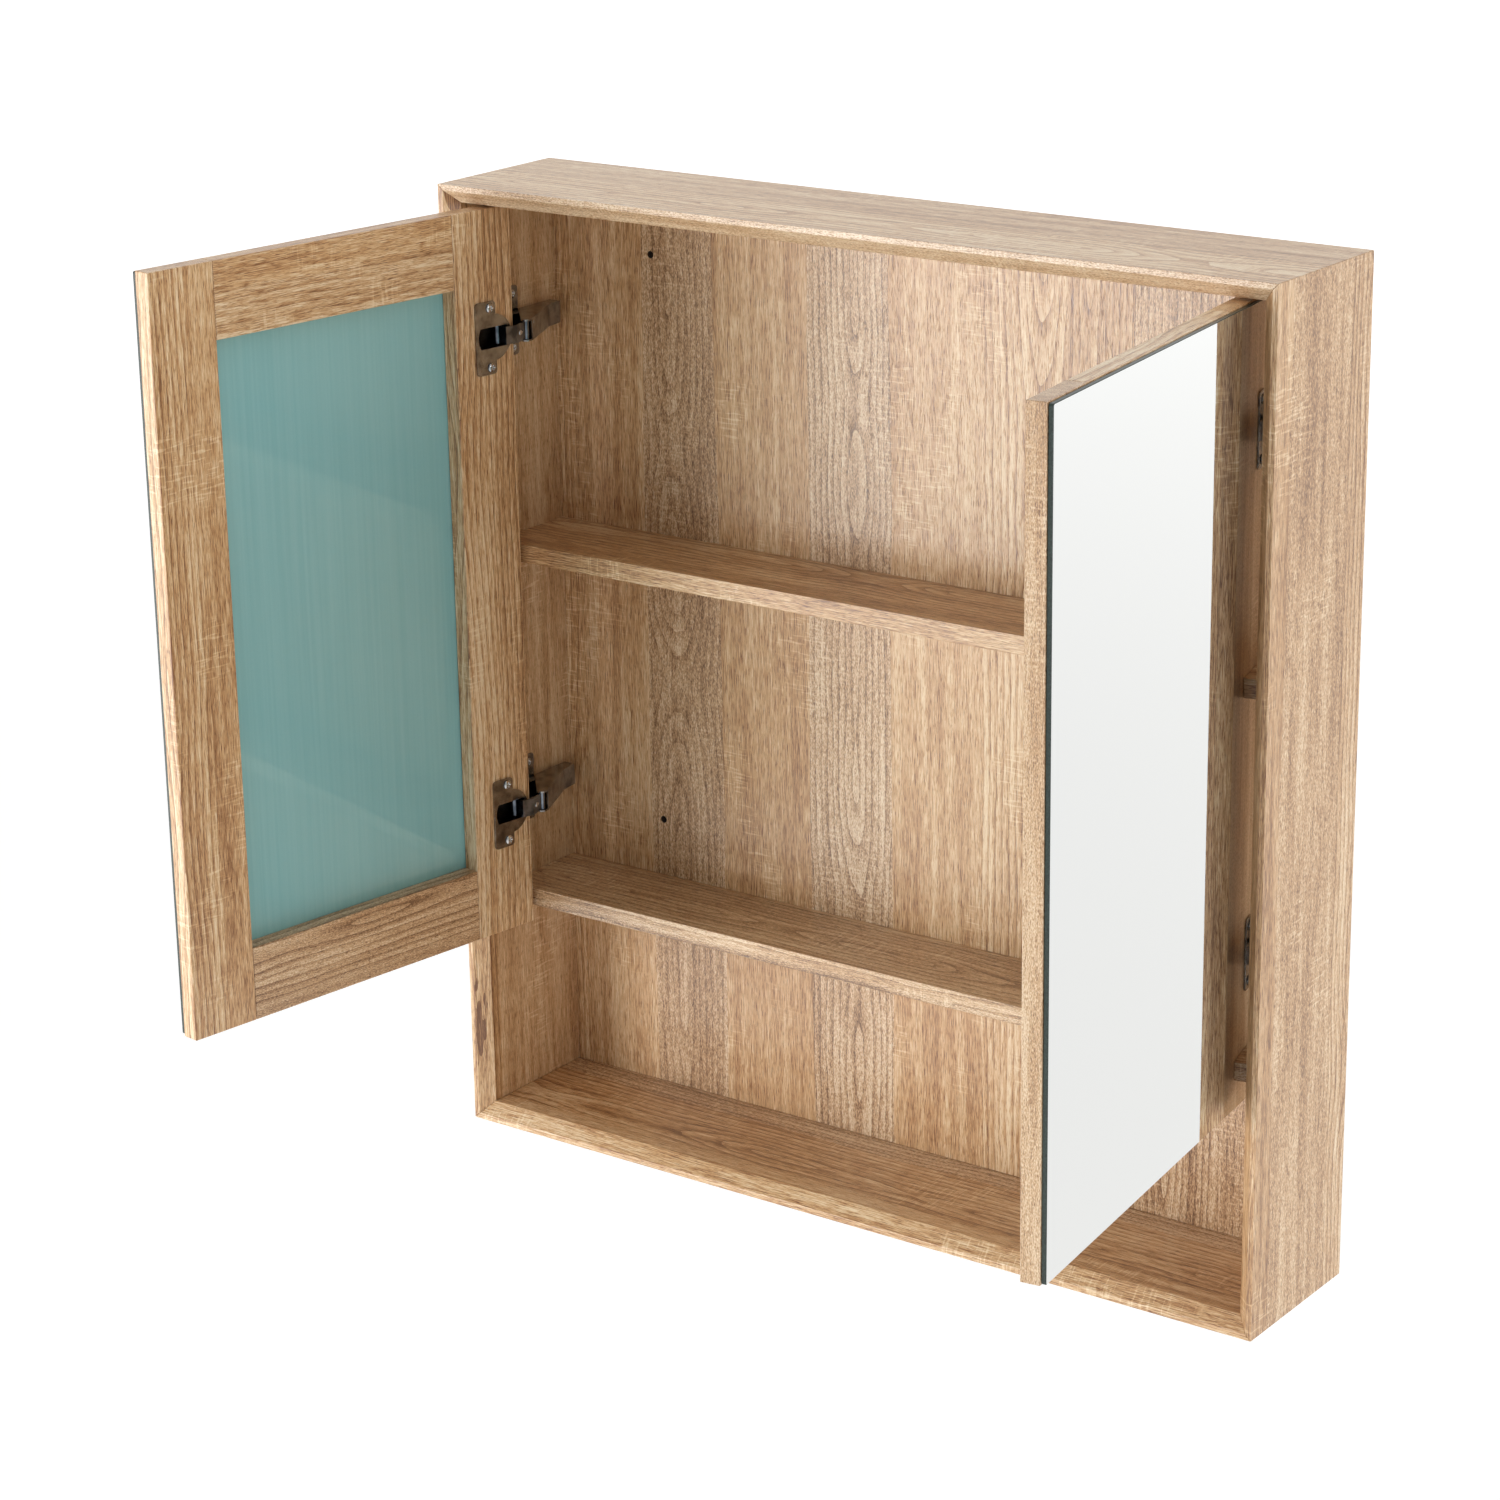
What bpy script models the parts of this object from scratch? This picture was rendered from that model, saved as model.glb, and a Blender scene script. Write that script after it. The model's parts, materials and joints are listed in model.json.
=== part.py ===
"""Bathroom medicine cabinet: a mitred oak box with two framed mirror doors on cup hinges.

Frame of the model: metres, +Z up, +X to the right, +Y into the wall. The origin is the
centre of the face that lies on the wall, so the front edge is at y = -DEPTH.
Each door hangs on a chain of two pivots per side: side panel -> hinge links -> door.
The doors are modelled closed and turned to their resting angle by the empties.
"""

from dataclasses import dataclass
from math import asin, atan2, cos, hypot, pi, radians, sin

import bmesh
import bpy
from mathutils import Matrix, Vector

MM = 0.001

# Carcass
WIDTH = 750 * MM
HEIGHT = 800 * MM
DEPTH = 140 * MM
BOARD = 15 * MM
BACK_BOARD = 15 * MM
FRONT_FACET = 4.7 * MM
SPLAY_DEPTH = 10 * MM
JOINT_GAP = 0.3 * MM
WALL_HOLE_RADIUS = 3 * MM
WALL_HOLE_FROM_SIDE = 114 * MM
WALL_HOLE_BELOW_TOP = 66 * MM
WALL_HOLE_ABOVE_NICHE = 64 * MM

# Shelves and their pins
SHELF_BOARD = 15 * MM
SHELF_CLEARANCE = 2.5 * MM
NICHE_HEIGHT = 175 * MM
SHELF_PITCH = 298 * MM
PIN_RADIUS = 2.5 * MM
PIN_REACH = 9 * MM
PIN_IN_SIDE = 8 * MM
PIN_FROM_SHELF_EDGE = 20 * MM

# Doors
DOOR_SETBACK = 10 * MM
MIRROR_THICKNESS = 4 * MM
MIRROR_INSET = 1 * MM
FRAME_THICKNESS = 15 * MM
FRAME_WIDTH = 60 * MM
FRAME_BEVEL = 0.5 * MM
DOOR_SIDE_GAP = 3 * MM
DOOR_CENTRE_GAP = 2 * MM
DOOR_TOP_GAP = 2 * MM
DOOR_DROP = 11.5 * MM

# Hinges: distances in plan are from the side panel's inner face and from the cabinet's front
HINGE_FROM_DOOR_END = 103 * MM
LINK_PIVOT_FROM_SIDE = 33 * MM
LINK_PIVOT_FROM_FRONT = 45 * MM
CUP_PIVOT_FROM_EDGE = 13 * MM
CUP_PIVOT_DEPTH = 5 * MM
LINK_SHARE = 0.2
CUP_RADIUS = 17.4 * MM
CUP_DEPTH = 10.8 * MM
CUP_FROM_EDGE = 22 * MM
CUP_WALL = 1.2 * MM
CUP_HOLE_GAP = 0.4 * MM
CUP_RIM = 1.4 * MM
POCKET_HALF = 8.4 * MM
FLANGE_WIDTH = 21 * MM
FLANGE_LENGTH = 59 * MM
FLANGE_FROM_EDGE = 19.7 * MM
FLANGE_CORNER = 3 * MM
SHEET = 1.2 * MM
CUP_SCREW_PITCH = 48 * MM
CUP_SCREW_FROM_EDGE = 25.5 * MM
PLATE_SCREW_PITCH = 44 * MM
PLATE_SCREW_BEHIND_DOOR = 37 * MM
WING_WIDTH = 16 * MM
WING_LENGTH = 57 * MM
WING_THICKNESS = 1.5 * MM
RIB_HEIGHT = 8 * MM
RIB_LENGTH = 46 * MM
ARM_HALF = 9 * MM
ARM_SHEET = 1.5 * MM
ARM_REAR_BEHIND_PIVOT = 70 * MM
ARM_CLEARANCE = 0.4 * MM
ARM_FOOT_BEHIND_PIVOT = 30 * MM
ARM_FOOT_SLOPE = (6 * MM, -8 * MM)
ARM_WEB_FROM_PIVOT = (3 * MM, 5 * MM)
ARM_WEB_KINK = (15 * MM, -18 * MM)
ARM_REAR_HEIGHT = 12.5 * MM
ARM_NOSE_ARC = (radians(-140), radians(20))
ARM_MOUTH_STEP = 6 * MM
NOSE_RADIUS = 4 * MM
PIVOT_PIN_RADIUS = 1.25 * MM
PIVOT_CLEARANCE = 0.3 * MM
EYE_WALL = 1.1 * MM
LINK_SHEET = 1.6 * MM
LINK_BENDS = [(9.4 * MM, radians(-68)), (15.6 * MM, radians(-35))]
INNER_LINK_START = 0.42
INNER_LINK_END = 0.72
INNER_LINK_SHEET = 1 * MM
INNER_LINK_HALF = 5 * MM
SCREW_HEAD_RADIUS = 3.8 * MM
SCREW_HEAD_HEIGHT = 1.6 * MM
SCREW_SHANK_RADIUS = 1.7 * MM
SCREW_LENGTH = 12 * MM
SCREW_CROWN = (0.7, 0.85)
SCREW_SHOULDER = 0.3
SCREW_POINT_START = 0.8
SCREW_HOLE_GAP = 0.3 * MM
ROUND_STEPS = 32

# Resting angle of each door from closed, and the widest opening
REST_ANGLE = {"left": radians(98.5), "right": radians(97.0)}
WIDEST_OPENING = radians(105)

# Places that follow from the sizes above
FRONT = -DEPTH
TOP = HEIGHT / 2
BOTTOM = -HEIGHT / 2
INNER_HALF = WIDTH / 2 - BOARD
BACK_FRONT = -BACK_BOARD
LOWER_SHELF_BASE = BOTTOM + BOARD + NICHE_HEIGHT
UPPER_SHELF_BASE = LOWER_SHELF_BASE + SHELF_PITCH
DOOR_TOP = TOP - BOARD - DOOR_TOP_GAP
DOOR_BOTTOM = LOWER_SHELF_BASE - DOOR_DROP
MIRROR_FACE = FRONT + DOOR_SETBACK
FRAME_FACE = MIRROR_FACE + MIRROR_THICKNESS
DOOR_BACK = FRAME_FACE + FRAME_THICKNESS
DOOR_EDGE = INNER_HALF - DOOR_SIDE_GAP
DOOR_WIDTH = DOOR_EDGE - DOOR_CENTRE_GAP / 2
LINK_PIVOT = (INNER_HALF - LINK_PIVOT_FROM_SIDE, FRONT + LINK_PIVOT_FROM_FRONT)
CUP_PIVOT = (DOOR_EDGE - CUP_PIVOT_FROM_EDGE, DOOR_BACK - CUP_PIVOT_DEPTH)
HINGE_LEVELS = {
    "upper": DOOR_TOP - HINGE_FROM_DOOR_END,
    "lower": DOOR_BOTTOM + HINGE_FROM_DOOR_END,
}
SCREW_LINE = DOOR_BACK + PLATE_SCREW_BEHIND_DOOR
EYE_RADIUS = PIVOT_PIN_RADIUS + PIVOT_CLEARANCE + EYE_WALL
LINK_HALF = ARM_HALF - ARM_SHEET - PIVOT_CLEARANCE
SCREW_HOLE_RADIUS = SCREW_SHANK_RADIUS + SCREW_HOLE_GAP


@dataclass
class Body:
    """What a piece rides: the empty on its joint's axis and where that axis is when closed."""

    empty: bpy.types.Object | None
    axis: Vector


def clear_scene():
    for obj in list(bpy.data.objects):
        bpy.data.objects.remove(obj, do_unlink=True)


def new_collection(name):
    collection = bpy.data.collections.new(name)
    bpy.context.scene.collection.children.link(collection)
    return collection


def material(name, colour, roughness, metallic=0.0):
    """A Principled BSDF of one colour, given as linear red, green and blue."""
    made = bpy.data.materials.new(name)
    made.use_nodes = True
    shader = made.node_tree.nodes["Principled BSDF"]
    shader.inputs["Base Color"].default_value = (*colour, 1.0)
    shader.inputs["Roughness"].default_value = roughness
    shader.inputs["Metallic"].default_value = metallic
    return made


clear_scene()
CABINET = new_collection("medicine_cabinet")
CUTTERS = new_collection("cutters")
OAK = material("oak_foil", (0.52, 0.34, 0.19), 0.55)
MIRROR = material("mirror_glass", (0.88, 0.9, 0.9), 0.04, 1.0)
NICKEL = material("nickel_plated_steel", (0.46, 0.42, 0.37), 0.3, 1.0)
ZINC = material("zinc_plated_pin", (0.6, 0.6, 0.6), 0.35, 1.0)
CARCASS = Body(None, Vector((0, 0, 0)))


def finish_object(obj, body, place, finish):
    """Hangs the object on its body at the given closed place; one without a finish is a cutter."""
    (CABINET if finish else CUTTERS).objects.link(obj)
    if finish:
        obj.data.materials.append(finish)
    else:
        obj.hide_render = True
        obj.display_type = "WIRE"
    obj.parent = body.empty
    obj.location = Vector(place) - body.axis
    return obj


def mesh_object(name, bm):
    bmesh.ops.recalc_face_normals(bm, faces=bm.faces[:])
    mesh = bpy.data.meshes.new(name)
    bm.to_mesh(mesh)
    bm.free()
    return bpy.data.objects.new(name, mesh)


def box(name, low, high, body=CARCASS, finish=None, bevel=0.0):
    """A block between two corners, its long edges eased by a bevel where asked."""
    low, high = Vector(low), Vector(high)
    size = Vector([abs(b - a) for a, b in zip(low, high)])
    bm = bmesh.new()
    bmesh.ops.create_cube(bm, size=1.0)
    bmesh.ops.scale(bm, vec=size, verts=bm.verts[:])
    obj = mesh_object(name, bm)
    if bevel:
        modifier = obj.modifiers.new("eased_edges", "BEVEL")
        modifier.width = bevel
        modifier.segments = 1
        modifier.limit_method = "ANGLE"
    return finish_object(obj, body, (low + high) / 2, finish)


def prism(name, outline, low, high, turn=None, place=(0, 0, 0), body=CARCASS, finish=None):
    """A flat outline given thickness from low to high along its own Z, then turned."""
    curve = bpy.data.curves.new(name, "CURVE")
    curve.dimensions = "2D"
    curve.fill_mode = "BOTH"
    curve.extrude = (high - low) / 2
    spline = curve.splines.new("POLY")
    spline.points.add(len(outline) - 1)
    for point, (x, y) in zip(spline.points, outline):
        point.co = (x, y, 0, 1)
    spline.use_cyclic_u = True
    flat = bpy.data.objects.new(name + "_outline", curve)
    bpy.context.scene.collection.objects.link(flat)
    graph = bpy.context.evaluated_depsgraph_get()
    mesh = bpy.data.meshes.new_from_object(flat.evaluated_get(graph))
    bpy.data.objects.remove(flat, do_unlink=True)
    bpy.data.curves.remove(curve)
    bm = bmesh.new()
    bm.from_mesh(mesh)
    bpy.data.meshes.remove(mesh)
    bmesh.ops.remove_doubles(bm, verts=bm.verts[:], dist=0.00001)
    bmesh.ops.translate(bm, vec=(0, 0, (low + high) / 2), verts=bm.verts[:])
    if turn:
        bmesh.ops.transform(bm, matrix=turn, verts=bm.verts[:])
    return finish_object(mesh_object(name, bm), body, place, finish)


def rod(name, radius, length, place, axis="Z", body=CARCASS, finish=None, steps=ROUND_STEPS):
    """A plain cylinder about its place, along one of the three directions."""
    bm = bmesh.new()
    bmesh.ops.create_cone(bm, cap_ends=True, segments=steps, radius1=radius, radius2=radius, depth=length)
    turns = {"X": Matrix.Rotation(pi / 2, 4, "Y"), "Y": Matrix.Rotation(pi / 2, 4, "X"), "Z": Matrix()}
    bmesh.ops.transform(bm, matrix=turns[axis], verts=bm.verts[:])
    obj = mesh_object(name, bm)
    obj.data.shade_smooth()
    obj.data.set_sharp_from_angle(angle=radians(40))
    return finish_object(obj, body, place, finish)


def turned(name, profile, place, turn, body, finish, steps=16):
    """A turned piece: the profile runs down its outer side from the axis to the axis."""
    mesh = bpy.data.meshes.new(name)
    edges = [(i, i + 1) for i in range(len(profile) - 1)]
    mesh.from_pydata([(radius, 0, height) for radius, height in profile], edges, [])
    obj = bpy.data.objects.new(name, mesh)
    screw = obj.modifiers.new("turned", "SCREW")
    screw.steps = steps
    screw.render_steps = steps
    screw.use_merge_vertices = True
    screw.merge_threshold = 0.00001
    finish_object(obj, body, place, finish)
    obj.rotation_euler = turn
    return obj


def combine(obj, other, operation):
    modifier = obj.modifiers.new(other.name, "BOOLEAN")
    modifier.operation = operation
    modifier.object = other


def cut(obj, cutter):
    combine(obj, cutter, "DIFFERENCE")


def join(obj, other):
    combine(obj, other, "UNION")


def arc(centre, radius, start, end, steps):
    """Points along an arc in plan, from the start angle to the end angle."""
    return [
        (centre[0] + radius * cos(start + (end - start) * i / steps),
         centre[1] + radius * sin(start + (end - start) * i / steps))
        for i in range(steps + 1)
    ]


def rounded_rectangle(width, height, radius, steps=4):
    x, y = width / 2 - radius, height / 2 - radius
    corners = [(x, y, 0), (-x, y, 1), (-x, -y, 2), (x, -y, 3)]
    points = []
    for cx, cy, quarter in corners:
        points += arc((cx, cy), radius, quarter * pi / 2, (quarter + 1) * pi / 2, steps)
    return points


def strip_outline(path, thickness, inset=0.0):
    """The outline of a bent strip: its middle line moved to each side, with mitred bends."""
    def side(sign):
        offset = sign * thickness / 2 + inset
        line = []
        for i, point in enumerate(path):
            before = path[max(i - 1, 0)]
            after = path[min(i + 1, len(path) - 1)]
            normals = []
            for a, b in ((before, point), (point, after)):
                length = hypot(b[0] - a[0], b[1] - a[1])
                if length:
                    normals.append(((a[1] - b[1]) / length, (b[0] - a[0]) / length))
            nx = sum(n[0] for n in normals) / len(normals)
            ny = sum(n[1] for n in normals) / len(normals)
            stretch = nx * nx + ny * ny
            line.append((point[0] + nx * offset / stretch, point[1] + ny * offset / stretch))
        return line

    return side(1) + side(-1)[::-1]


# --- Carcass -----------------------------------------------------------------------------


def carcass_panels():
    """Four boards with a splayed front edge that meet in mitres.

    Each is modelled as the left side, with its section in plan, its ends cut at 45 degrees
    from the outer face, and then turned about the depth direction to its place.
    """
    made = {}
    places = {"left_side": 0, "top_panel": 1, "right_side": 2, "bottom_panel": 3}
    for name, quarter in places.items():
        upright = quarter % 2 == 0
        length, reach = (HEIGHT, WIDTH / 2) if upright else (WIDTH, HEIGHT / 2)
        section = [
            (-reach, FRONT),
            (-reach + FRONT_FACET, FRONT),
            (-reach + BOARD, FRONT + SPLAY_DEPTH),
            (-reach + BOARD, 0),
            (-reach, 0),
        ]
        panel = prism(name, section, -length / 2, length / 2, finish=OAK)
        for vertex in panel.data.vertices:
            from_outer_face = vertex.co.x + reach + JOINT_GAP / 2
            vertex.co.z -= from_outer_face if vertex.co.z > 0 else -from_outer_face
        panel.data.transform(Matrix.Rotation(quarter * pi / 2, 4, "Y"))
        made[name] = panel
    return made


def back_panel():
    half, rise = INNER_HALF - JOINT_GAP, TOP - BOARD - JOINT_GAP
    back = box("back_panel", (-half, BACK_FRONT, -rise), (half, 0, rise), finish=OAK)
    levels = {"high": TOP - WALL_HOLE_BELOW_TOP, "low": LOWER_SHELF_BASE + WALL_HOLE_ABOVE_NICHE}
    for side, sign in (("left", -1), ("right", 1)):
        for level, z in levels.items():
            place = (sign * (WIDTH / 2 - WALL_HOLE_FROM_SIDE), BACK_FRONT / 2, z)
            cut(back, rod(f"wall_hole_{level}_{side}", WALL_HOLE_RADIUS, 2 * BACK_BOARD, place, "Y"))
    return back


def turned_about(point, centre, angle):
    x, y = point[0] - centre[0], point[1] - centre[1]
    return (centre[0] + x * cos(angle) - y * sin(angle), centre[1] + x * sin(angle) + y * cos(angle))


def shelf_front():
    """Where the shelves' front edges are: clear of the widest open door's hinge edge."""
    corners = [(DOOR_EDGE - MIRROR_INSET, MIRROR_FACE), (DOOR_EDGE, FRAME_FACE), (DOOR_EDGE, DOOR_BACK)]
    swung = [turned_about(corner, CUP_PIVOT, (1 + LINK_SHARE) * WIDEST_OPENING) for corner in corners]
    swung = [turned_about(corner, LINK_PIVOT, -LINK_SHARE * WIDEST_OPENING) for corner in swung]
    return max(y for _, y in swung) + SHELF_CLEARANCE


def shelf(name, base):
    half = INNER_HALF - JOINT_GAP
    rear = BACK_FRONT - JOINT_GAP
    return box(name, (-half, shelf_front(), base), (half, rear, base + SHELF_BOARD), finish=OAK)


def shelf_pins(sides):
    """Four pins let into the sides, that the upper shelf lies on."""
    z = UPPER_SHELF_BASE - JOINT_GAP - PIN_RADIUS
    rows = {"front": shelf_front() + PIN_FROM_SHELF_EDGE, "rear": BACK_FRONT - PIN_FROM_SHELF_EDGE}
    hole_depth = PIN_IN_SIDE + JOINT_GAP
    for side, sign in (("left", -1), ("right", 1)):
        for row, y in rows.items():
            middle = INNER_HALF + (PIN_IN_SIDE - PIN_REACH) / 2
            rod(f"shelf_pin_{row}_{side}", PIN_RADIUS, PIN_IN_SIDE + PIN_REACH,
                (sign * middle, y, z), "X", finish=ZINC, steps=20)
            hole = rod(f"pin_hole_{row}_{side}", PIN_RADIUS + JOINT_GAP, 2 * hole_depth,
                       (sign * INNER_HALF, y, z), "X", steps=20)
            cut(sides[side], hole)


# --- Doors -------------------------------------------------------------------------------


def door_bodies(side, sign):
    """The two empties of a door: the hinge links' axis, and on it the door's own axis."""
    angle = REST_ANGLE[side]
    middle = (DOOR_TOP + DOOR_BOTTOM) / 2
    links = bpy.data.objects.new(f"{side}_link_axis", None)
    door = bpy.data.objects.new(f"{side}_door_axis", None)
    links_at = Vector((sign * LINK_PIVOT[0], LINK_PIVOT[1], middle))
    door_at = Vector((sign * CUP_PIVOT[0], CUP_PIVOT[1], middle))
    for empty in (links, door):
        empty.empty_display_size = 0.02
        CABINET.objects.link(empty)
    links.location = links_at
    links.rotation_euler.z = -sign * LINK_SHARE * angle
    door.parent = links
    door.location = door_at - links_at
    door.rotation_euler.z = sign * (1 + LINK_SHARE) * angle
    return Body(links, links_at), Body(door, door_at)


def door_leaf(side, sign, body):
    """Stiles at full height, rails between them, and the mirror on their front."""
    def piece(name, near, far, low, high, front=FRAME_FACE, rear=DOOR_BACK, finish=OAK):
        corner = (sign * near, front, low)
        return box(f"{side}_{name}", corner, (sign * far, rear, high), body, finish,
                   FRAME_BEVEL if finish is OAK else 0.0)

    free_edge = DOOR_EDGE - DOOR_WIDTH
    rail_near = DOOR_EDGE - FRAME_WIDTH - JOINT_GAP
    rail_far = free_edge + FRAME_WIDTH + JOINT_GAP
    hinge_stile = piece("door_hinge_stile", DOOR_EDGE, DOOR_EDGE - FRAME_WIDTH, DOOR_BOTTOM, DOOR_TOP)
    piece("door_free_stile", free_edge, free_edge + FRAME_WIDTH, DOOR_BOTTOM, DOOR_TOP)
    piece("door_top_rail", rail_near, rail_far, DOOR_TOP - FRAME_WIDTH, DOOR_TOP)
    piece("door_bottom_rail", rail_near, rail_far, DOOR_BOTTOM, DOOR_BOTTOM + FRAME_WIDTH)
    piece("door_mirror", DOOR_EDGE - MIRROR_INSET, free_edge + MIRROR_INSET,
          DOOR_BOTTOM + MIRROR_INSET, DOOR_TOP - MIRROR_INSET,
          MIRROR_FACE, FRAME_FACE - JOINT_GAP, MIRROR)
    return hinge_stile


# --- Hinges ------------------------------------------------------------------------------


def link_path():
    """The links' middle line in plan, closed, from the cup's pivot to the arm's pivot.

    It leaves the cup level, rises past the rim, and bends back to the arm, so that it
    clears the door's edge when the door stands open.
    """
    reach = hypot(LINK_PIVOT[0] - CUP_PIVOT[0], LINK_PIVOT[1] - CUP_PIVOT[1])
    heading = atan2(LINK_PIVOT[1] - CUP_PIVOT[1], CUP_PIVOT[0] - LINK_PIVOT[0])
    points = [(0.0, 0.0)]
    points += [(r * cos(heading + turn), r * sin(heading + turn)) for r, turn in LINK_BENDS]
    points.append((reach * cos(heading), reach * sin(heading)))
    return [(CUP_PIVOT[0] - x, CUP_PIVOT[1] + y) for x, y in points]


def mirrored(points, sign):
    return [(sign * x, y) for x, y in points]


def between(start, end, share):
    return (start[0] + (end[0] - start[0]) * share, start[1] + (end[1] - start[1]) * share)


def outer_link(name, sign, z, body):
    """A bent plate with a rolled eye at each end, turning on the arm's and the cup's pins."""
    path = link_path()
    link = prism(name, mirrored(strip_outline(path, LINK_SHEET), sign), z - LINK_HALF, z + LINK_HALF,
                 body=body, finish=NICKEL)
    for end, point in (("arm", path[-1]), ("cup", path[0])):
        place = (sign * point[0], point[1], z)
        join(link, rod(f"{name}_{end}_eye", EYE_RADIUS, 2 * LINK_HALF, place, body=body))
    for end, point in (("arm", path[-1]), ("cup", path[0])):
        place = (sign * point[0], point[1], z)
        bore = PIVOT_PIN_RADIUS + PIVOT_CLEARANCE
        cut(link, rod(f"{name}_{end}_bore", bore, 3 * LINK_HALF, place, body=body, steps=20))
    return link


def inner_link(name, sign, z, body):
    """The narrower second link, under the outer one."""
    path = link_path()
    middle = [
        between(path[0], path[1], INNER_LINK_START),
        path[1],
        path[2],
        between(path[2], path[3], INNER_LINK_END),
    ]
    offset = (LINK_SHEET + INNER_LINK_SHEET) / 2 + JOINT_GAP
    outline = strip_outline(middle, INNER_LINK_SHEET, -offset)
    return prism(name, mirrored(outline, sign), z - INNER_LINK_HALF, z + INNER_LINK_HALF,
                 body=body, finish=NICKEL)


def hinge_cup(name, sign, z, body, stile):
    """The cup with its flange, rim and riveted pin, let into the stile's inner face."""
    centre_x = sign * (DOOR_EDGE - CUP_FROM_EDGE)
    face = DOOR_BACK + JOINT_GAP
    upright = Matrix.Rotation(pi / 2, 4, "X")
    flange_x = sign * (DOOR_EDGE - FLANGE_FROM_EDGE - FLANGE_WIDTH / 2)
    cup = prism(name, rounded_rectangle(FLANGE_WIDTH, FLANGE_LENGTH, FLANGE_CORNER), -SHEET, 0,
                upright, (flange_x, face, z), body, NICKEL)
    drum_length = CUP_DEPTH + SHEET
    drum = rod(name + "_drum", CUP_RADIUS, drum_length,
               (centre_x, face + SHEET - drum_length / 2, z), "Y", body, steps=48)
    rim = rod(name + "_rim", CUP_RADIUS + CUP_RIM, SHEET, (centre_x, face + SHEET / 2, z), "Y", body,
              steps=48)
    inside = CUP_RADIUS - CUP_WALL
    corner = asin(POCKET_HALF / inside)
    window = arc((0, 0), inside, -corner, corner, 8) + arc((0, 0), inside, pi - corner, pi + corner, 8)
    floor = CUP_DEPTH - CUP_WALL
    pocket = prism(name + "_pocket", window, -3 * SHEET, floor, upright, (centre_x, face, z), body)
    pin = rod(name + "_pin", PIVOT_PIN_RADIUS, 2 * POCKET_HALF + CUP_WALL,
              (sign * CUP_PIVOT[0], CUP_PIVOT[1], z), "Z", body, steps=20)
    join(cup, drum)
    join(cup, rim)
    cut(cup, pocket)
    join(cup, pin)
    recess = rod(name + "_recess", CUP_RADIUS + CUP_HOLE_GAP, 2 * (CUP_DEPTH + CUP_HOLE_GAP),
                 (centre_x, DOOR_BACK, z), "Y", body, steps=48)
    cut(stile, recess)
    return cup


def hinge_arm(name, sign, z):
    """A cranked channel, open to the side panel, with the link's pin through its nose."""
    pivot_x, pivot_y = LINK_PIVOT_FROM_SIDE, LINK_PIVOT[1]
    rear = pivot_y + ARM_REAR_BEHIND_PIVOT
    base = WING_THICKNESS + 2 * JOINT_GAP
    foot_y = pivot_y + ARM_FOOT_BEHIND_PIVOT
    web = [
        (pivot_x + ARM_WEB_FROM_PIVOT[0], pivot_y + ARM_WEB_FROM_PIVOT[1]),
        (ARM_WEB_KINK[0], rear + ARM_WEB_KINK[1]),
        (ARM_REAR_HEIGHT, rear),
    ]
    foot = [(base, rear), (base, foot_y), (base + ARM_FOOT_SLOPE[0], foot_y + ARM_FOOT_SLOPE[1])]
    nose = arc((pivot_x, pivot_y), NOSE_RADIUS, ARM_NOSE_ARC[0], ARM_NOSE_ARC[1], 8)
    outline = foot + nose + web
    place = [(sign * (INNER_HALF - x), y) for x, y in outline]
    arm = prism(name, place, z - ARM_HALF, z + ARM_HALF, finish=NICKEL)
    hollow_web = strip_outline(web, 0.0, ARM_SHEET)[:len(web)]
    behind_nose = pivot_y + EYE_RADIUS + 2 * PIVOT_CLEARANCE
    mouth = (hollow_web[0][0] + ARM_MOUTH_STEP, behind_nose)
    hollow = [
        (-base, rear + base),
        (-base, FRONT),
        (pivot_x + 3 * NOSE_RADIUS, FRONT),
        (pivot_x + 3 * NOSE_RADIUS, behind_nose),
        mouth,
        *hollow_web,
        (hollow_web[-1][0], rear + base),
    ]
    hollow_half = ARM_HALF - ARM_SHEET
    space = prism(name + "_hollow", [(sign * (INNER_HALF - x), y) for x, y in hollow],
                  z - hollow_half, z + hollow_half)
    cut(arm, space)
    pin = rod(name + "_pin", PIVOT_PIN_RADIUS, 2 * ARM_HALF - ARM_SHEET,
              (sign * LINK_PIVOT[0], LINK_PIVOT[1], z), steps=20)
    join(arm, pin)
    return arm


def mounting_plate(name, sign, z):
    """The plate with two wings on the side panel, and the rib that the arm clips over."""
    start = SCREW_LINE - WING_WIDTH / 2
    wing_face = INNER_HALF - JOINT_GAP
    wings = prism(name, rounded_rectangle(WING_WIDTH, WING_LENGTH, FLANGE_CORNER), 0, WING_THICKNESS,
                  Matrix.Rotation(-sign * pi / 2, 4, "Z") @ Matrix.Rotation(pi / 2, 4, "X"),
                  (sign * wing_face, SCREW_LINE, z), finish=NICKEL)
    rib_half = ARM_HALF - ARM_SHEET - ARM_CLEARANCE
    rib = box(name + "_rib", (sign * wing_face, start + JOINT_GAP, z - rib_half),
              (sign * (wing_face - RIB_HEIGHT), start + RIB_LENGTH, z + rib_half))
    join(wings, rib)
    return wings


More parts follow.
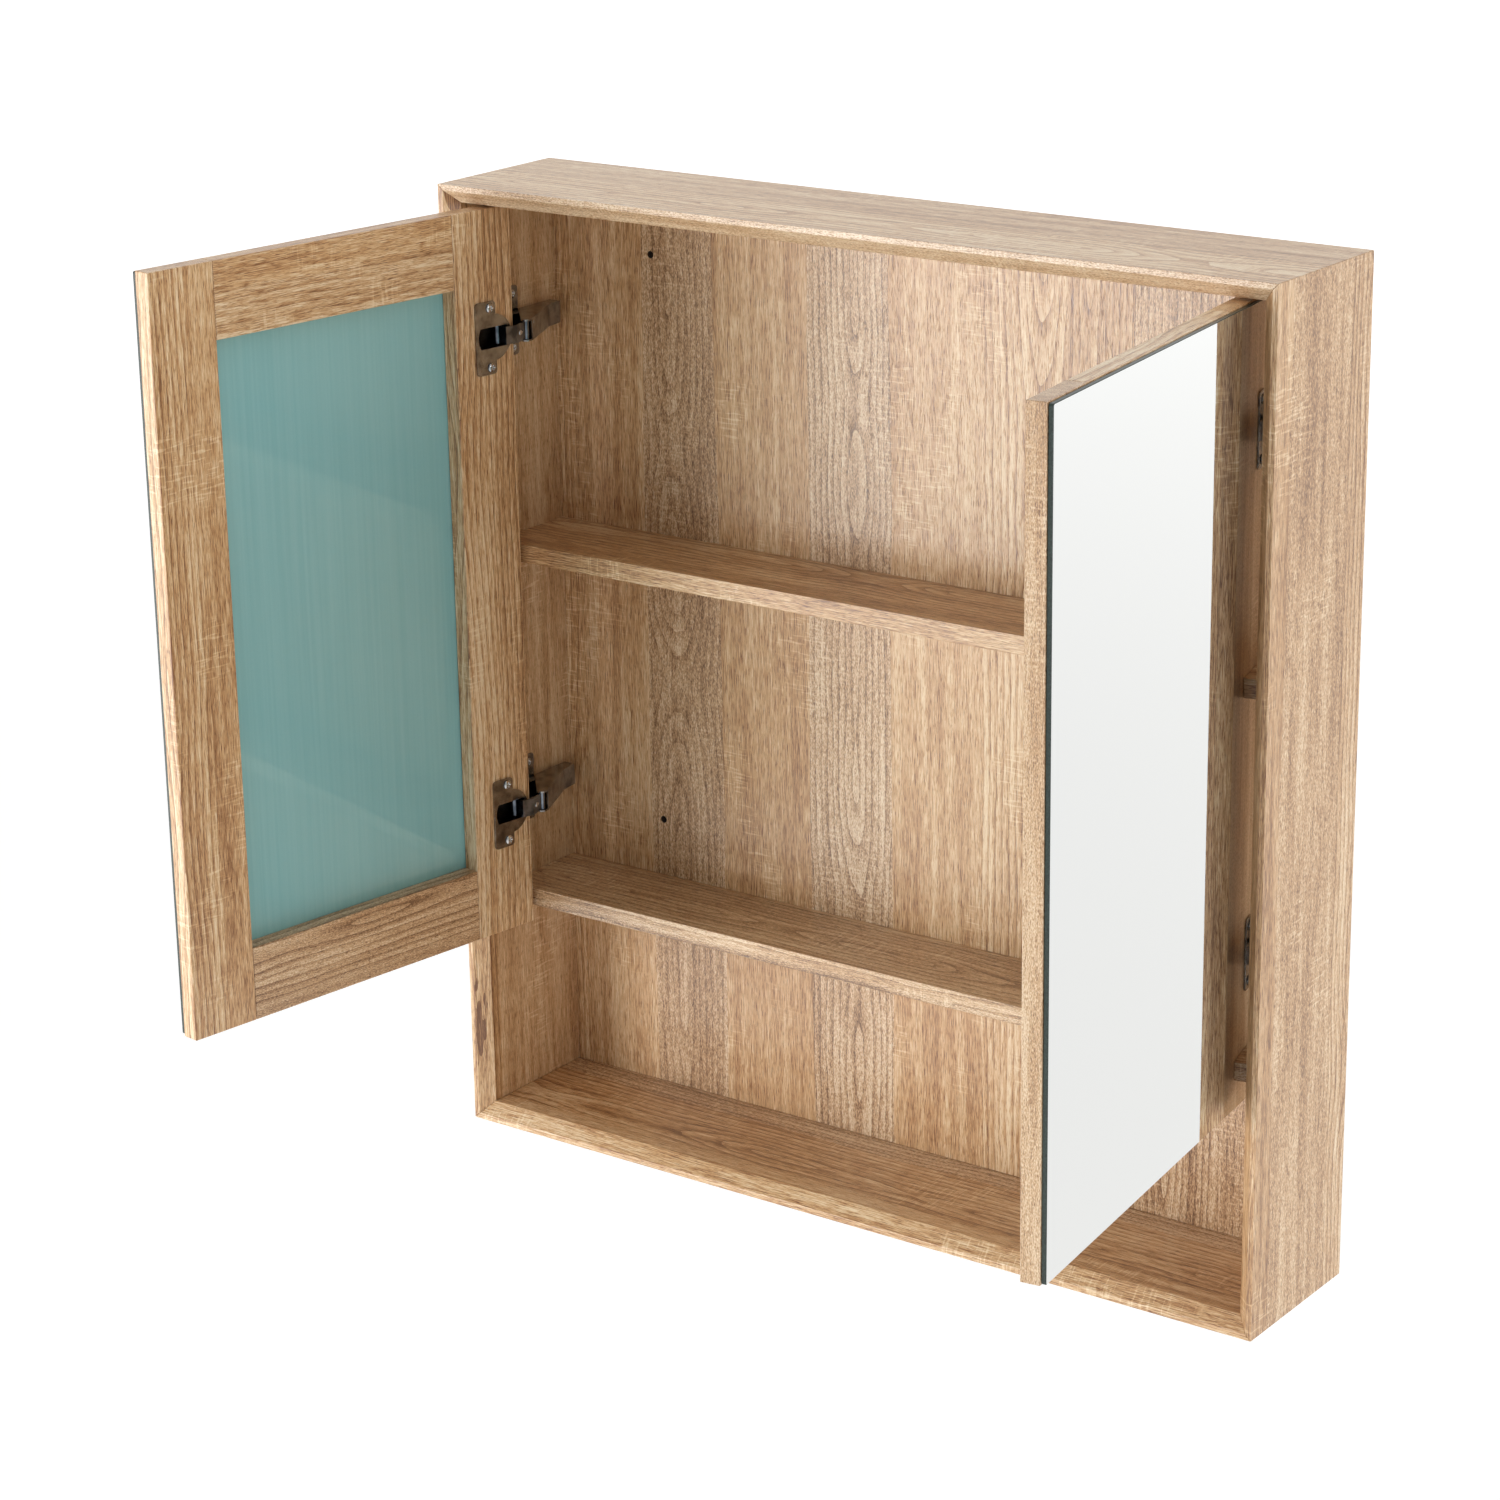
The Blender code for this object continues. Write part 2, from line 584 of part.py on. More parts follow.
def hinge_screw(name, board, place, turn, inward, body):
    """A pan head screw and its hole in the board; it goes in along the inward direction."""
    profile = [
        (0, SCREW_HEAD_HEIGHT),
        (SCREW_HEAD_RADIUS * SCREW_CROWN[0], SCREW_HEAD_HEIGHT * SCREW_CROWN[1]),
        (SCREW_HEAD_RADIUS, SCREW_HEAD_HEIGHT * SCREW_SHOULDER),
        (SCREW_HEAD_RADIUS, 0),
        (SCREW_SHANK_RADIUS, 0),
        (SCREW_SHANK_RADIUS, -SCREW_LENGTH * SCREW_POINT_START),
        (0, -SCREW_LENGTH),
    ]
    screw = turned(name, profile, place, turn, body, NICKEL)
    depth = 2 * (SCREW_LENGTH + SCREW_HOLE_GAP)
    axis = "X" if abs(inward[0]) > 0.5 else "Y"
    cutter = rod(name + "_hole", SCREW_HOLE_RADIUS, depth, place, axis, body, steps=20)
    for piece in board:
        cut(piece, cutter)
    return screw


def hinge(side, level, sign, side_panel, stile, links, door):
    z = HINGE_LEVELS[level]
    prefix = f"{side}_{level}_hinge"
    cup = hinge_cup(f"{prefix}_cup", sign, z, door, stile)
    hinge_arm(f"{prefix}_arm", sign, z)
    plate = mounting_plate(f"{prefix}_plate", sign, z)
    outer_link(f"{prefix}_outer_link", sign, z, links)
    inner_link(f"{prefix}_inner_link", sign, z, links)
    for end, up in (("upper", 1), ("lower", -1)):
        cup_place = (sign * (DOOR_EDGE - CUP_SCREW_FROM_EDGE),
                     DOOR_BACK + 2 * JOINT_GAP + SHEET, z + up * CUP_SCREW_PITCH / 2)
        hinge_screw(f"{prefix}_cup_screw_{end}", (cup, stile), cup_place, (-pi / 2, 0, 0), (0, -1, 0), door)
        plate_place = (sign * (INNER_HALF - WING_THICKNESS - 2 * JOINT_GAP), SCREW_LINE,
                       z + up * PLATE_SCREW_PITCH / 2)
        hinge_screw(f"{prefix}_plate_screw_{end}", (plate, side_panel), plate_place,
                    (0, -sign * pi / 2, 0), (sign, 0, 0), CARCASS)


def build():
    panels = carcass_panels()
    sides = {"left": panels["left_side"], "right": panels["right_side"]}
    back_panel()
    shelf("lower_shelf", LOWER_SHELF_BASE)
    shelf("upper_shelf", UPPER_SHELF_BASE)
    shelf_pins(sides)
    for side, sign in (("left", -1), ("right", 1)):
        links, door = door_bodies(side, sign)
        stile = door_leaf(side, sign, door)
        for level in HINGE_LEVELS:
            hinge(side, level, sign, sides[side], stile, links, door)


build()
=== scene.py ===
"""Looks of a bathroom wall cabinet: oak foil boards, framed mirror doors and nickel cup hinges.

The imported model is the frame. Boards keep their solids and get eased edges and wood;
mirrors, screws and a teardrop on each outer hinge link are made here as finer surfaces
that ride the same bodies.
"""

import json
import logging
import math
from dataclasses import dataclass, field
from enum import Enum
from typing import Any

import bpy
import numpy as np
from mathutils import Matrix, Quaternion, Vector

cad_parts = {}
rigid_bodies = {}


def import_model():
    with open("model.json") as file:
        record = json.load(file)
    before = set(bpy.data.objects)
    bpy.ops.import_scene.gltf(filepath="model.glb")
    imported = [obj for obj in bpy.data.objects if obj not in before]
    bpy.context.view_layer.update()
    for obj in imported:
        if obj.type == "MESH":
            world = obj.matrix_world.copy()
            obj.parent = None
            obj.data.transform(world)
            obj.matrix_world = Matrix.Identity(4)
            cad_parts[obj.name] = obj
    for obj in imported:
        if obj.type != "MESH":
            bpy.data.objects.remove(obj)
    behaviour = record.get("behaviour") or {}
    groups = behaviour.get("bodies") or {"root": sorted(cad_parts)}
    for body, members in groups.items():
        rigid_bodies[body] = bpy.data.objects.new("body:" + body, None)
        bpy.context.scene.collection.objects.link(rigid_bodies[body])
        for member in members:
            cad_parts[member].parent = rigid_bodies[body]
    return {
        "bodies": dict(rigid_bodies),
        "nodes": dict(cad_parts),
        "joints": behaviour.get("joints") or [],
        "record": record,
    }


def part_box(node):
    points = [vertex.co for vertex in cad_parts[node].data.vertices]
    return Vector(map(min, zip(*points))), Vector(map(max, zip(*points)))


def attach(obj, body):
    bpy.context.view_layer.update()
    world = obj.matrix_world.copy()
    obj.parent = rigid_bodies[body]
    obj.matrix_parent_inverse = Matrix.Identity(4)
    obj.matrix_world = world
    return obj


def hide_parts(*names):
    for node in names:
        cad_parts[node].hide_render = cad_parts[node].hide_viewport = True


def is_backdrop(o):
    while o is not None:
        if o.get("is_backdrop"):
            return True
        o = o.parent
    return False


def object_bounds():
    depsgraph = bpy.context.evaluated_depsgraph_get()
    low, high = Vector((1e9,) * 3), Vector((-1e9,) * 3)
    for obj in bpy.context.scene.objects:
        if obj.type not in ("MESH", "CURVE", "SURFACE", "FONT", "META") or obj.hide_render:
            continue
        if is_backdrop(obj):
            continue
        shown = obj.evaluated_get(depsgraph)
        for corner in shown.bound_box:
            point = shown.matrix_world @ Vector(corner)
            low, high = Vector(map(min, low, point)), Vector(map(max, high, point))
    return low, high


LOG = logging.getLogger("wall_cabinet")
MM = 0.001
SIDES = ("left", "right")
LEVELS = ("upper", "lower")

Array = np.ndarray
Inputs = dict[int | str, Any]
Triple = tuple[float, float, float]
Stops = tuple[tuple[float, str], ...]


# --- Small tools ---------------------------------------------------------------------------


def hex_linear(code: str) -> tuple[float, float, float, float]:
    """Turns an sRGB hex colour into linear red, green, blue and alpha.

    Args:
        code: six hex digits after a hash sign.

    Returns:
        Four linear values.
    """
    channels = [int(code[i : i + 2], 16) / 255 for i in (1, 3, 5)]
    linear = [c / 12.92 if c <= 0.04045 else ((c + 0.055) / 1.055) ** 2.4 for c in channels]
    return (linear[0], linear[1], linear[2], 1.0)


def add_node(
    tree: bpy.types.NodeTree, kind: str, inputs: Inputs | None = None, **settings: Any
) -> bpy.types.Node:
    """Adds one node, sets its options, and fills or links its inputs.

    Args:
        tree: the node tree.
        kind: the node's type name.
        inputs: socket name or number to a value, or to an output socket that feeds it.
        settings: properties of the node.

    Returns:
        The new node.
    """
    node = tree.nodes.new(kind)
    for name, value in settings.items():
        setattr(node, name, value)
    for key, value in (inputs or {}).items():
        if isinstance(value, bpy.types.NodeSocket):
            tree.links.new(value, node.inputs[key])
        else:
            node.inputs[key].default_value = value
    return node


def new_material(name: str) -> tuple[bpy.types.Material, bpy.types.NodeTree, bpy.types.Node]:
    """Makes an empty node material with its Principled shader.

    Args:
        name: the material's name.

    Returns:
        The material, its node tree and the shader node.
    """
    made = bpy.data.materials.new(name)
    made.use_nodes = True
    tree = made.node_tree
    tree.nodes.clear()
    shader = add_node(tree, "ShaderNodeBsdfPrincipled")
    add_node(tree, "ShaderNodeOutputMaterial", {"Surface": shader.outputs["BSDF"]})
    return made, tree, shader


def ramp_node(tree: bpy.types.NodeTree, factor: Any, stops: Stops) -> bpy.types.NodeSocket:
    """Adds a colour ramp through the given stops.

    Args:
        tree: the node tree.
        factor: the socket that drives the ramp.
        stops: position and sRGB hex colour, in rising order.

    Returns:
        The ramp's colour output.
    """
    node = add_node(tree, "ShaderNodeValToRGB", {0: factor})
    elements = node.color_ramp.elements
    while len(elements) < len(stops):
        elements.new(1.0)
    for element, (position, code) in zip(elements, stops):
        element.position = position
        element.color = hex_linear(code)
    return node.outputs["Color"]


def dress(obj: bpy.types.Object, *materials: bpy.types.Material) -> None:
    """Gives an object these materials in its slots, in order."""
    obj.data.materials.clear()
    for made in materials:
        obj.data.materials.append(made)


def choose(mesh: bpy.types.Mesh, slots: Array) -> None:
    """Gives each face the material in the slot of that number."""
    mesh.polygons.foreach_set("material_index", slots.astype(np.int32))


def read(items: Any, attribute: str, width: int = 1) -> Array:
    """Copies one attribute of many items into an array.

    Args:
        items: a mesh's vertices, polygons or loop triangles.
        attribute: the attribute's name.
        width: how many numbers each item has.

    Returns:
        One row for each item, or one number where the width is 1.
    """
    flat = np.empty(len(items) * width)
    items.foreach_get(attribute, flat)
    return flat.reshape(-1, width) if width > 1 else flat


# --- Finishes ------------------------------------------------------------------------------


@dataclass(frozen=True)
class BoardAxes:
    """Which way a board's wood runs: unit directions at rest, and where its pattern starts."""

    across: Triple
    through: Triple
    along: Triple
    shift: Triple

    def turn(self) -> Triple:
        """Works out a Mapping node's rotation for these directions.

        Returns:
            Euler angles, so that X runs across the grain, Y through the board and Z along
            the grain.
        """
        turn = Matrix((self.across, self.through, self.along)).to_euler()
        return (turn.x, turn.y, turn.z)


@dataclass(frozen=True)
class OakFoil:
    """Light sawn oak printed on foil over board, as on flat-pack furniture.

    The print shows planks about 80 mm wide of slightly different tone, straight grain with
    cathedral figure in some planks, short pores, and pale saw marks across the grain. The
    foil is embossed, so it has a satin sheen that breaks up along the pores.

    Each of the last triples is a noise: its cells per metre across the grain, its cells per
    metre along the grain, and how many layers of detail it has. Each pair is the range over
    which a mark fades in.
    """

    plank: float = 78 * MM
    plank_spread: float = 0.8
    plank_tone: float = 0.24
    ring_pitch: float = 6.0 * MM
    ring_ripple: float = 0.8
    ring_fall: float = 2.5
    pith_swing: float = 110 * MM
    pith_level: float = 0.46
    dips_per_metre: float = 4.2
    dips_by_plank: float = 9.0
    wander: float = 14 * MM
    fold: float = 0.8
    level: float = 0.6
    figure: float = 0.5
    streak: float = 2.5
    band: float = 1.0
    clouding: float = 0.5
    flecking: float = 0.7
    pore: float = 0.4
    pore_depth: float = 0.8
    saw: float = 0.24
    roughness: float = 0.33
    gloss_swing: float = 0.25
    lacquer: float = 0.8
    relief: float = 0.3
    relief_depth: float = 0.15 * MM
    honey: Stops = (
        (0.0, "#75492a"),
        (0.3, "#ae7f51"),
        (0.52, "#c99c6d"),
        (0.74, "#dcb98b"),
        (1.0, "#eed7b4"),
    )
    taupe: Stops = (
        (0.0, "#6c4b30"),
        (0.3, "#a67f5a"),
        (0.52, "#c29b73"),
        (0.74, "#d6b690"),
        (1.0, "#ead5b8"),
    )
    figured_from: tuple[float, float] = (0.25, 0.6)
    flecked_from: tuple[float, float] = (0.55, 0.8)
    taupe_from: tuple[float, float] = (0.2, 1.0)
    pore_from: tuple[float, float] = (0.54, 0.68)
    saw_from: tuple[float, float] = (0.54, 0.66)
    bends: Triple = (7.0, 2.6, 2.0)
    ripples: Triple = (60.0, 12.0, 2.0)
    fibres: Triple = (1600.0, 55.0, 5.0)
    flecks: Triple = (1700.0, 480.0, 1.0)
    bands: Triple = (120.0, 5.0, 2.0)
    pores: Triple = (2100.0, 150.0, 1.0)
    dashes: Triple = (55.0, 480.0, 1.0)
    patches: Triple = (17.0, 9.0, 1.0)
    clouds: Triple = (16.0, 2.2, 2.0)

    def build(self, name: str, axes: BoardAxes) -> bpy.types.Material:
        """Builds the foil for one board.

        Args:
            name: the material's name.
            axes: the board's grain directions and pattern shift.

        Returns:
            The material.
        """
        made, tree, shader = new_material(name)
        board = add_node(
            tree,
            "ShaderNodeMapping",
            {
                "Vector": add_node(tree, "ShaderNodeTexCoord").outputs["Object"],
                "Rotation": axes.turn(),
                "Location": axes.shift,
            },
        ).outputs[0]
        parts = add_node(tree, "ShaderNodeSeparateXYZ", {0: board})
        along = parts.outputs["Z"]

        def noise(cells: Triple) -> Any:
            """Noise with so many cells per metre across and along the grain, and layers."""
            scales = (cells[0], cells[0], cells[1])
            scaled = add_node(
                tree, "ShaderNodeVectorMath", {0: board, 1: scales}, operation="MULTIPLY"
            ).outputs[0]
            settings = {"Vector": scaled, "Scale": 1.0, "Detail": cells[2], "Roughness": 0.6}
            return add_node(tree, "ShaderNodeTexNoise", settings).outputs["Fac"]

        def maths(operation: str, first: Any, second: Any = 0.0, *third: Any) -> Any:
            """One step of arithmetic."""
            inputs = dict(enumerate((first, second, *third)))
            return add_node(tree, "ShaderNodeMath", inputs, operation=operation).outputs[0]

        def product(first: Any, second: Any) -> Any:
            """One value times another."""
            return maths("MULTIPLY", first, second)

        def less(first: Any, second: Any) -> Any:
            """One value less another."""
            return maths("SUBTRACT", first, second)

        def swung(mark: Any, amount: float, value: Any) -> Any:
            """A value moved up and down by so much of a noise about its middle."""
            return maths("MULTIPLY_ADD", less(mark, 0.5), amount, value)

        def rising(value: Any, span: tuple[float, float]) -> Any:
            """A smooth step from 0 at the span's start to 1 at its end."""
            settings = {"Value": value, "From Min": span[0], "From Max": span[1]}
            return add_node(
                tree, "ShaderNodeMapRange", settings, interpolation_type="SMOOTHSTEP"
            ).outputs[0]

        # The sheet is folded over the board's edges, so a step through counts as one across.
        across = maths("MULTIPLY_ADD", parts.outputs["Y"], self.fold, parts.outputs["X"])
        # Long slow waves bend the grain to one side and the other.
        bent = swung(noise(self.bends), self.wander, across)
        # A plank is one cell along a line, with its own random tone, figure and pores.
        position = maths("DIVIDE", bent, self.plank)
        cell = add_node(
            tree,
            "ShaderNodeTexVoronoi",
            {"W": position, "Scale": 1.0, "Randomness": self.plank_spread},
            voronoi_dimensions="1D",
        )
        lot = add_node(tree, "ShaderNodeSeparateColor", {0: cell.outputs["Color"]})
        tone, figured, pored = (lot.outputs[i] for i in range(3))
        # Growth rings: circles about a pith that dips in and out of the face along the plank,
        # so the lines close into cathedrals where it comes near.
        off_centre = product(less(position, cell.outputs["W"]), self.plank)
        dip_at = add_node(
            tree,
            "ShaderNodeCombineXYZ",
            {0: product(tone, self.dips_by_plank), 2: product(along, self.dips_per_metre)},
        ).outputs[0]
        dip = add_node(
            tree, "ShaderNodeTexNoise", {"Vector": dip_at, "Scale": 1.0, "Detail": 1.0}
        ).outputs["Fac"]
        depth = product(less(dip, self.pith_level), self.pith_swing)
        radius = maths("SQRT", maths("MULTIPLY_ADD", off_centre, off_centre, product(depth, depth)))
        rings = maths("DIVIDE", radius, self.ring_pitch)
        ring = maths(
            "FRACT", maths("MULTIPLY_ADD", noise(self.ripples), self.ring_ripple, rings)
        )
        # The mean of that power is taken off, so that figure doesn't darken a plank as a whole.
        line = less(maths("POWER", less(1.0, ring), self.ring_fall), 1 / (1 + self.ring_fall))
        drawn = product(line, rising(figured, self.figured_from))
        # Fibres a millimetre or two wide and a few centimetres long, and short dark pores.
        fibre = noise(self.fibres)
        mottled = product(rising(pored, self.flecked_from), self.flecking)
        grain = maths("MULTIPLY_ADD", mottled, less(noise(self.flecks), fibre), fibre)
        pores = rising(noise(self.pores), self.pore_from)
        # Saw marks: pale dashes across the grain, in patches.
        dashes = rising(noise(self.dashes), self.saw_from)
        sawn = product(dashes, rising(noise(self.patches), self.saw_from))

        value = swung(tone, self.plank_tone, self.level)
        value = swung(grain, self.streak, value)
        value = swung(noise(self.bands), self.band, value)
        value = swung(noise(self.clouds), self.clouding, value)
        for mark, amount in ((drawn, -self.figure), (pores, -self.pore), (sawn, self.saw)):
            value = maths("MULTIPLY_ADD", mark, amount, value)
        honey, taupe = (ramp_node(tree, value, stops) for stops in (self.honey, self.taupe))
        colour = add_node(
            tree,
            "ShaderNodeMix",
            {"Factor": rising(pored, self.taupe_from), 6: honey, 7: taupe},
            data_type="RGBA",
        ).outputs[2]
        height = maths("MULTIPLY_ADD", pores, -self.pore_depth, grain)
        bump = add_node(
            tree,
            "ShaderNodeBump",
            {"Height": height, "Strength": self.relief, "Distance": self.relief_depth},
        )
        gloss = swung(grain, self.gloss_swing, self.roughness)
        shader.inputs["Specular IOR Level"].default_value = self.lacquer
        tree.links.new(colour, shader.inputs["Base Color"])
        tree.links.new(gloss, shader.inputs["Roughness"])
        tree.links.new(bump.outputs[0], shader.inputs["Normal"])
        return made


@dataclass(frozen=True)
class PlatedSteel:
    """Pressed steel with a thin bright plating, a little uneven from the press and the bath."""

    colour: str = "#a3a09c"
    dull: str = "#777472"
    roughness: float = 0.22
    smoother: float = 0.08
    rougher: float = 0.1
    blotch: float = 9 * MM
    pits_per_metre: float = 2600.0
    pit_strength: float = 0.08
    pit_depth: float = 0.05 * MM

    def build(self, name: str) -> bpy.types.Material:
        """Builds the plating.

        Args:
            name: the material's name.

        Returns:
            The material.
        """
        made, tree, shader = new_material(name)
        place = add_node(tree, "ShaderNodeTexCoord").outputs["Object"]
        uneven = add_node(
            tree, "ShaderNodeTexNoise", {"Vector": place, "Scale": 1 / self.blotch, "Detail": 3.0}
        ).outputs["Fac"]
        pits = add_node(
            tree,
            "ShaderNodeTexNoise",
            {"Vector": place, "Scale": self.pits_per_metre, "Detail": 2.0},
        ).outputs["Fac"]
        colour = ramp_node(tree, uneven, ((0.35, self.dull), (0.6, self.colour)))
        least, most = self.roughness - self.smoother, self.roughness + self.rougher
        gloss = add_node(
            tree, "ShaderNodeMapRange", {"Value": uneven, "To Min": least, "To Max": most}
        )
        bump = add_node(
            tree,
            "ShaderNodeBump",
            {"Height": pits, "Strength": self.pit_strength, "Distance": self.pit_depth},
        )
        shader.inputs["Metallic"].default_value = 1.0
        tree.links.new(colour, shader.inputs["Base Color"])
        tree.links.new(gloss.outputs[0], shader.inputs["Roughness"])
        tree.links.new(bump.outputs[0], shader.inputs["Normal"])
        return made


@dataclass(frozen=True)
class MirrorSilver:
    """Silvered float glass: a clean reflection with a faint cool cast and the least haze."""

    colour: str = "#e3e4e3"
    haze: float = 0.03
    haze_per_metre: float = 7.0

    def build(self, name: str) -> bpy.types.Material:
        """Builds the silvering.

        Args:
            name: the material's name.

        Returns:
            The material.
        """
        made, tree, shader = new_material(name)
        place = add_node(tree, "ShaderNodeTexCoord").outputs["Object"]
        clouds = add_node(
            tree,
            "ShaderNodeTexNoise",
            {"Vector": place, "Scale": self.haze_per_metre, "Detail": 2.0},
        ).outputs["Fac"]
        gloss = add_node(
            tree, "ShaderNodeMapRange", {"Value": clouds, "To Min": 0.0, "To Max": self.haze}
        )
        shader.inputs["Metallic"].default_value = 1.0
        shader.inputs["Base Color"].default_value = hex_linear(self.colour)
        tree.links.new(gloss.outputs[0], shader.inputs["Roughness"])
        return made


@dataclass(frozen=True)
class MirrorBackPaint:
    """Teal lacquer curtain-coated over the silver, with faint streaks along its run."""

    light: str = "#8fc2c4"
    dark: str = "#80b7ba"
    streak: float = 3 * MM
    streaks_along: float = 4.0
    specks_per_metre: float = 900.0
    speck_share: float = 0.35
    roughness: float = 0.03
    lacquer: float = 0.8
    relief: float = 0.02
    relief_depth: float = 0.05 * MM

    def build(self, name: str) -> bpy.types.Material:
        """Builds the lacquer.

        Args:
            name: the material's name.

        Returns:
            The material.
        """
        made, tree, shader = new_material(name)
        place = add_node(tree, "ShaderNodeTexCoord").outputs["Object"]
        scales = (1 / self.streak, 1 / self.streak, self.streaks_along)
        run = add_node(
            tree, "ShaderNodeVectorMath", {0: place, 1: scales}, operation="MULTIPLY"
        ).outputs[0]
        streaks = add_node(
            tree, "ShaderNodeTexNoise", {"Vector": run, "Scale": 1.0, "Detail": 4.0}
        ).outputs["Fac"]
        specks = add_node(
            tree,
            "ShaderNodeTexNoise",
            {"Vector": place, "Scale": self.specks_per_metre, "Detail": 2.0},
        ).outputs["Fac"]
        mixed = add_node(
            tree,
            "ShaderNodeMath",
            {0: specks, 1: self.speck_share, 2: streaks},
            operation="MULTIPLY_ADD",
        ).outputs[0]
        colour = ramp_node(tree, mixed, ((0.25, self.dark), (1.0, self.light)))
        bump = add_node(
            tree,
            "ShaderNodeBump",
            {"Height": mixed, "Strength": self.relief, "Distance": self.relief_depth},
        )
        shader.inputs["Roughness"].default_value = self.roughness
        shader.inputs["Specular IOR Level"].default_value = self.lacquer
        tree.links.new(colour, shader.inputs["Base Color"])
        tree.links.new(bump.outputs[0], shader.inputs["Normal"])
        return made


@dataclass(frozen=True)
class GlassEdge:
    """The ground edge of float glass, dark green because the light goes in and stays in."""

    dark: str = "#18231f"
    light: str = "#34443e"
    grit_per_metre: float = 700.0
    roughness: float = 0.28

    def build(self, name: str) -> bpy.types.Material:
        """Builds the edge.

        Args:
            name: the material's name.

        Returns:
            The material.
        """
        made, tree, shader = new_material(name)
        place = add_node(tree, "ShaderNodeTexCoord").outputs["Object"]
        ground = add_node(
            tree,
            "ShaderNodeTexNoise",
            {"Vector": place, "Scale": self.grit_per_metre, "Detail": 3.0},
        ).outputs["Fac"]
        colour = ramp_node(tree, ground, ((0.35, self.dark), (0.7, self.light)))
        shader.inputs["Roughness"].default_value = self.roughness
        tree.links.new(colour, shader.inputs["Base Color"])
        return made


@dataclass(frozen=True)
class BoreChipsPaintedShade:
    """Chipboard left bare inside a drilled hole: a coarse chip pattern in near-black browns,
    painted shade for the dark inside of the hole.
    """

    dark: str = "#1c120b"
    light: str = "#49321f"
    chips_per_metre: float = 700.0
    roughness: float = 0.85

    def build(self, name: str) -> bpy.types.Material:
        """Builds the chips.

        Args:
            name: the material's name.

        Returns:
            The material.
        """
        made, tree, shader = new_material(name)
        place = add_node(tree, "ShaderNodeTexCoord").outputs["Object"]
        chips = add_node(
            tree, "ShaderNodeTexVoronoi", {"Vector": place, "Scale": self.chips_per_metre}
        ).outputs["Distance"]
        colour = ramp_node(tree, chips, ((0.1, self.light), (0.7, self.dark)))
        shader.inputs["Roughness"].default_value = self.roughness
        tree.links.new(colour, shader.inputs["Base Color"])
        return made


@dataclass(frozen=True)
class PaleFloor:
    """Matte studio paper, lit through from below behind the cabinet, so that it burns out."""

    colour: str = "#f7f7f6"
    roughness: float = 0.9
    glow_from: float = -1.0
    glow_full: float = 0.3
    glow: float = 0.18
    glow_far: float = 0.62
    near: float = 0.5
    far: float = 9.0

    def build(self, name: str) -> bpy.types.Material:
        """Builds the paper.

        Args:
            name: the material's name.

        Returns:
            The material.
        """
        made, tree, shader = new_material(name)
        shader.inputs["Base Color"].default_value = hex_linear(self.colour)
        shader.inputs["Roughness"].default_value = self.roughness
        place = add_node(tree, "ShaderNodeTexCoord").outputs["Object"]
        deep = add_node(tree, "ShaderNodeSeparateXYZ", {0: place}).outputs["Y"]
        begun = add_node(
            tree,
            "ShaderNodeMapRange",
            {"Value": deep, "From Min": self.glow_from, "From Max": self.glow_full},
        ).outputs[0]
        rise = add_node(
            tree,
            "ShaderNodeMapRange",
            {
                "Value": deep,
                "From Min": self.near,
                "From Max": self.far,
                "To Min": self.glow,
                "To Max": self.glow_far,
            },
        ).outputs[0]
        glow = add_node(tree, "ShaderNodeMath", {0: begun, 1: rise}, operation="MULTIPLY")
        shader.inputs["Emission Color"].default_value = (1.0, 1.0, 1.0, 1.0)
        tree.links.new(glow.outputs[0], shader.inputs["Emission Strength"])
        return made


# --- Surfaces ------------------------------------------------------------------------------


@dataclass
class Surface:
    """Closed rows of points joined into quads, with an n-gon cap on the first and last row."""

    rows: Array

    def faces(self) -> list[Array]:
        """Joins each point to the next in its row and to the next row, then adds the caps."""
        count, width = self.rows.shape[:2]
        row, col = np.meshgrid(np.arange(count - 1), np.arange(width), indexing="ij")
        this, after = row * width, (row + 1) * width
        turned = (col + 1) % width
        quads = np.stack([this + col, this + turned, after + turned, after + col], -1)
        first = np.arange(width)
        return [*quads.reshape(-1, 4), first[::-1], first + (count - 1) * width]

    def to_object(self, name: str, body: str, sharp: float) -> bpy.types.Object:
        """Makes a mesh object, turns its faces outwards and lets it ride a body.

        The volume is the sum, over all triangles, of the corner places' triple product. It
        is negative where the faces point inwards.

        Args:
            name: the piece's name.
            body: the body that it rides.
            sharp: edges over this angle, in degrees, stay sharp.

        Returns:
            The object.
        """
        mesh = bpy.data.meshes.new(name)
        points = self.rows.reshape(-1, 3).tolist()
        mesh.from_pydata(points, [], [face.tolist() for face in self.faces()])
        mesh.validate()
        mesh.update()
        mesh.calc_loop_triangles()
        triangles = read(mesh.loop_triangles, "vertices", 3).astype(np.int32)
        corners = read(mesh.vertices, "co", 3)[triangles]
        crossed = np.cross(corners[:, 1], corners[:, 2])
        if np.einsum("ij,ij->", corners[:, 0], crossed) < 0:
            mesh.flip_normals()
        mesh.shade_smooth()
        mesh.set_sharp_from_angle(angle=math.radians(sharp))
        obj = bpy.data.objects.new(name, mesh)
        bpy.context.scene.collection.objects.link(obj)
        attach(obj, body)
        return obj


def rounded_outline(width: float, height: float, radius: float, steps: int = 6) -> Array:
    """A rectangle with round corners: each corner is a quarter circle about a moved centre.

    Args:
        width: size along the first axis.
        height: size along the second axis.
        radius: corner radius.
        steps: points on each quarter.

    Returns:
        Points counter-clockwise, shape (4 * steps, 2).
    """
    angle = np.linspace(0, np.pi / 2, steps)
    quarter = np.arange(4)[:, None] * np.pi / 2 + angle
    signs = np.array([[1, 1], [-1, 1], [-1, -1], [1, -1]])
    centres = signs * np.array([width / 2 - radius, height / 2 - radius])
    ring = np.stack([np.cos(quarter), np.sin(quarter)], -1) * radius
    return (centres[:, None, :] + ring).reshape(-1, 2)


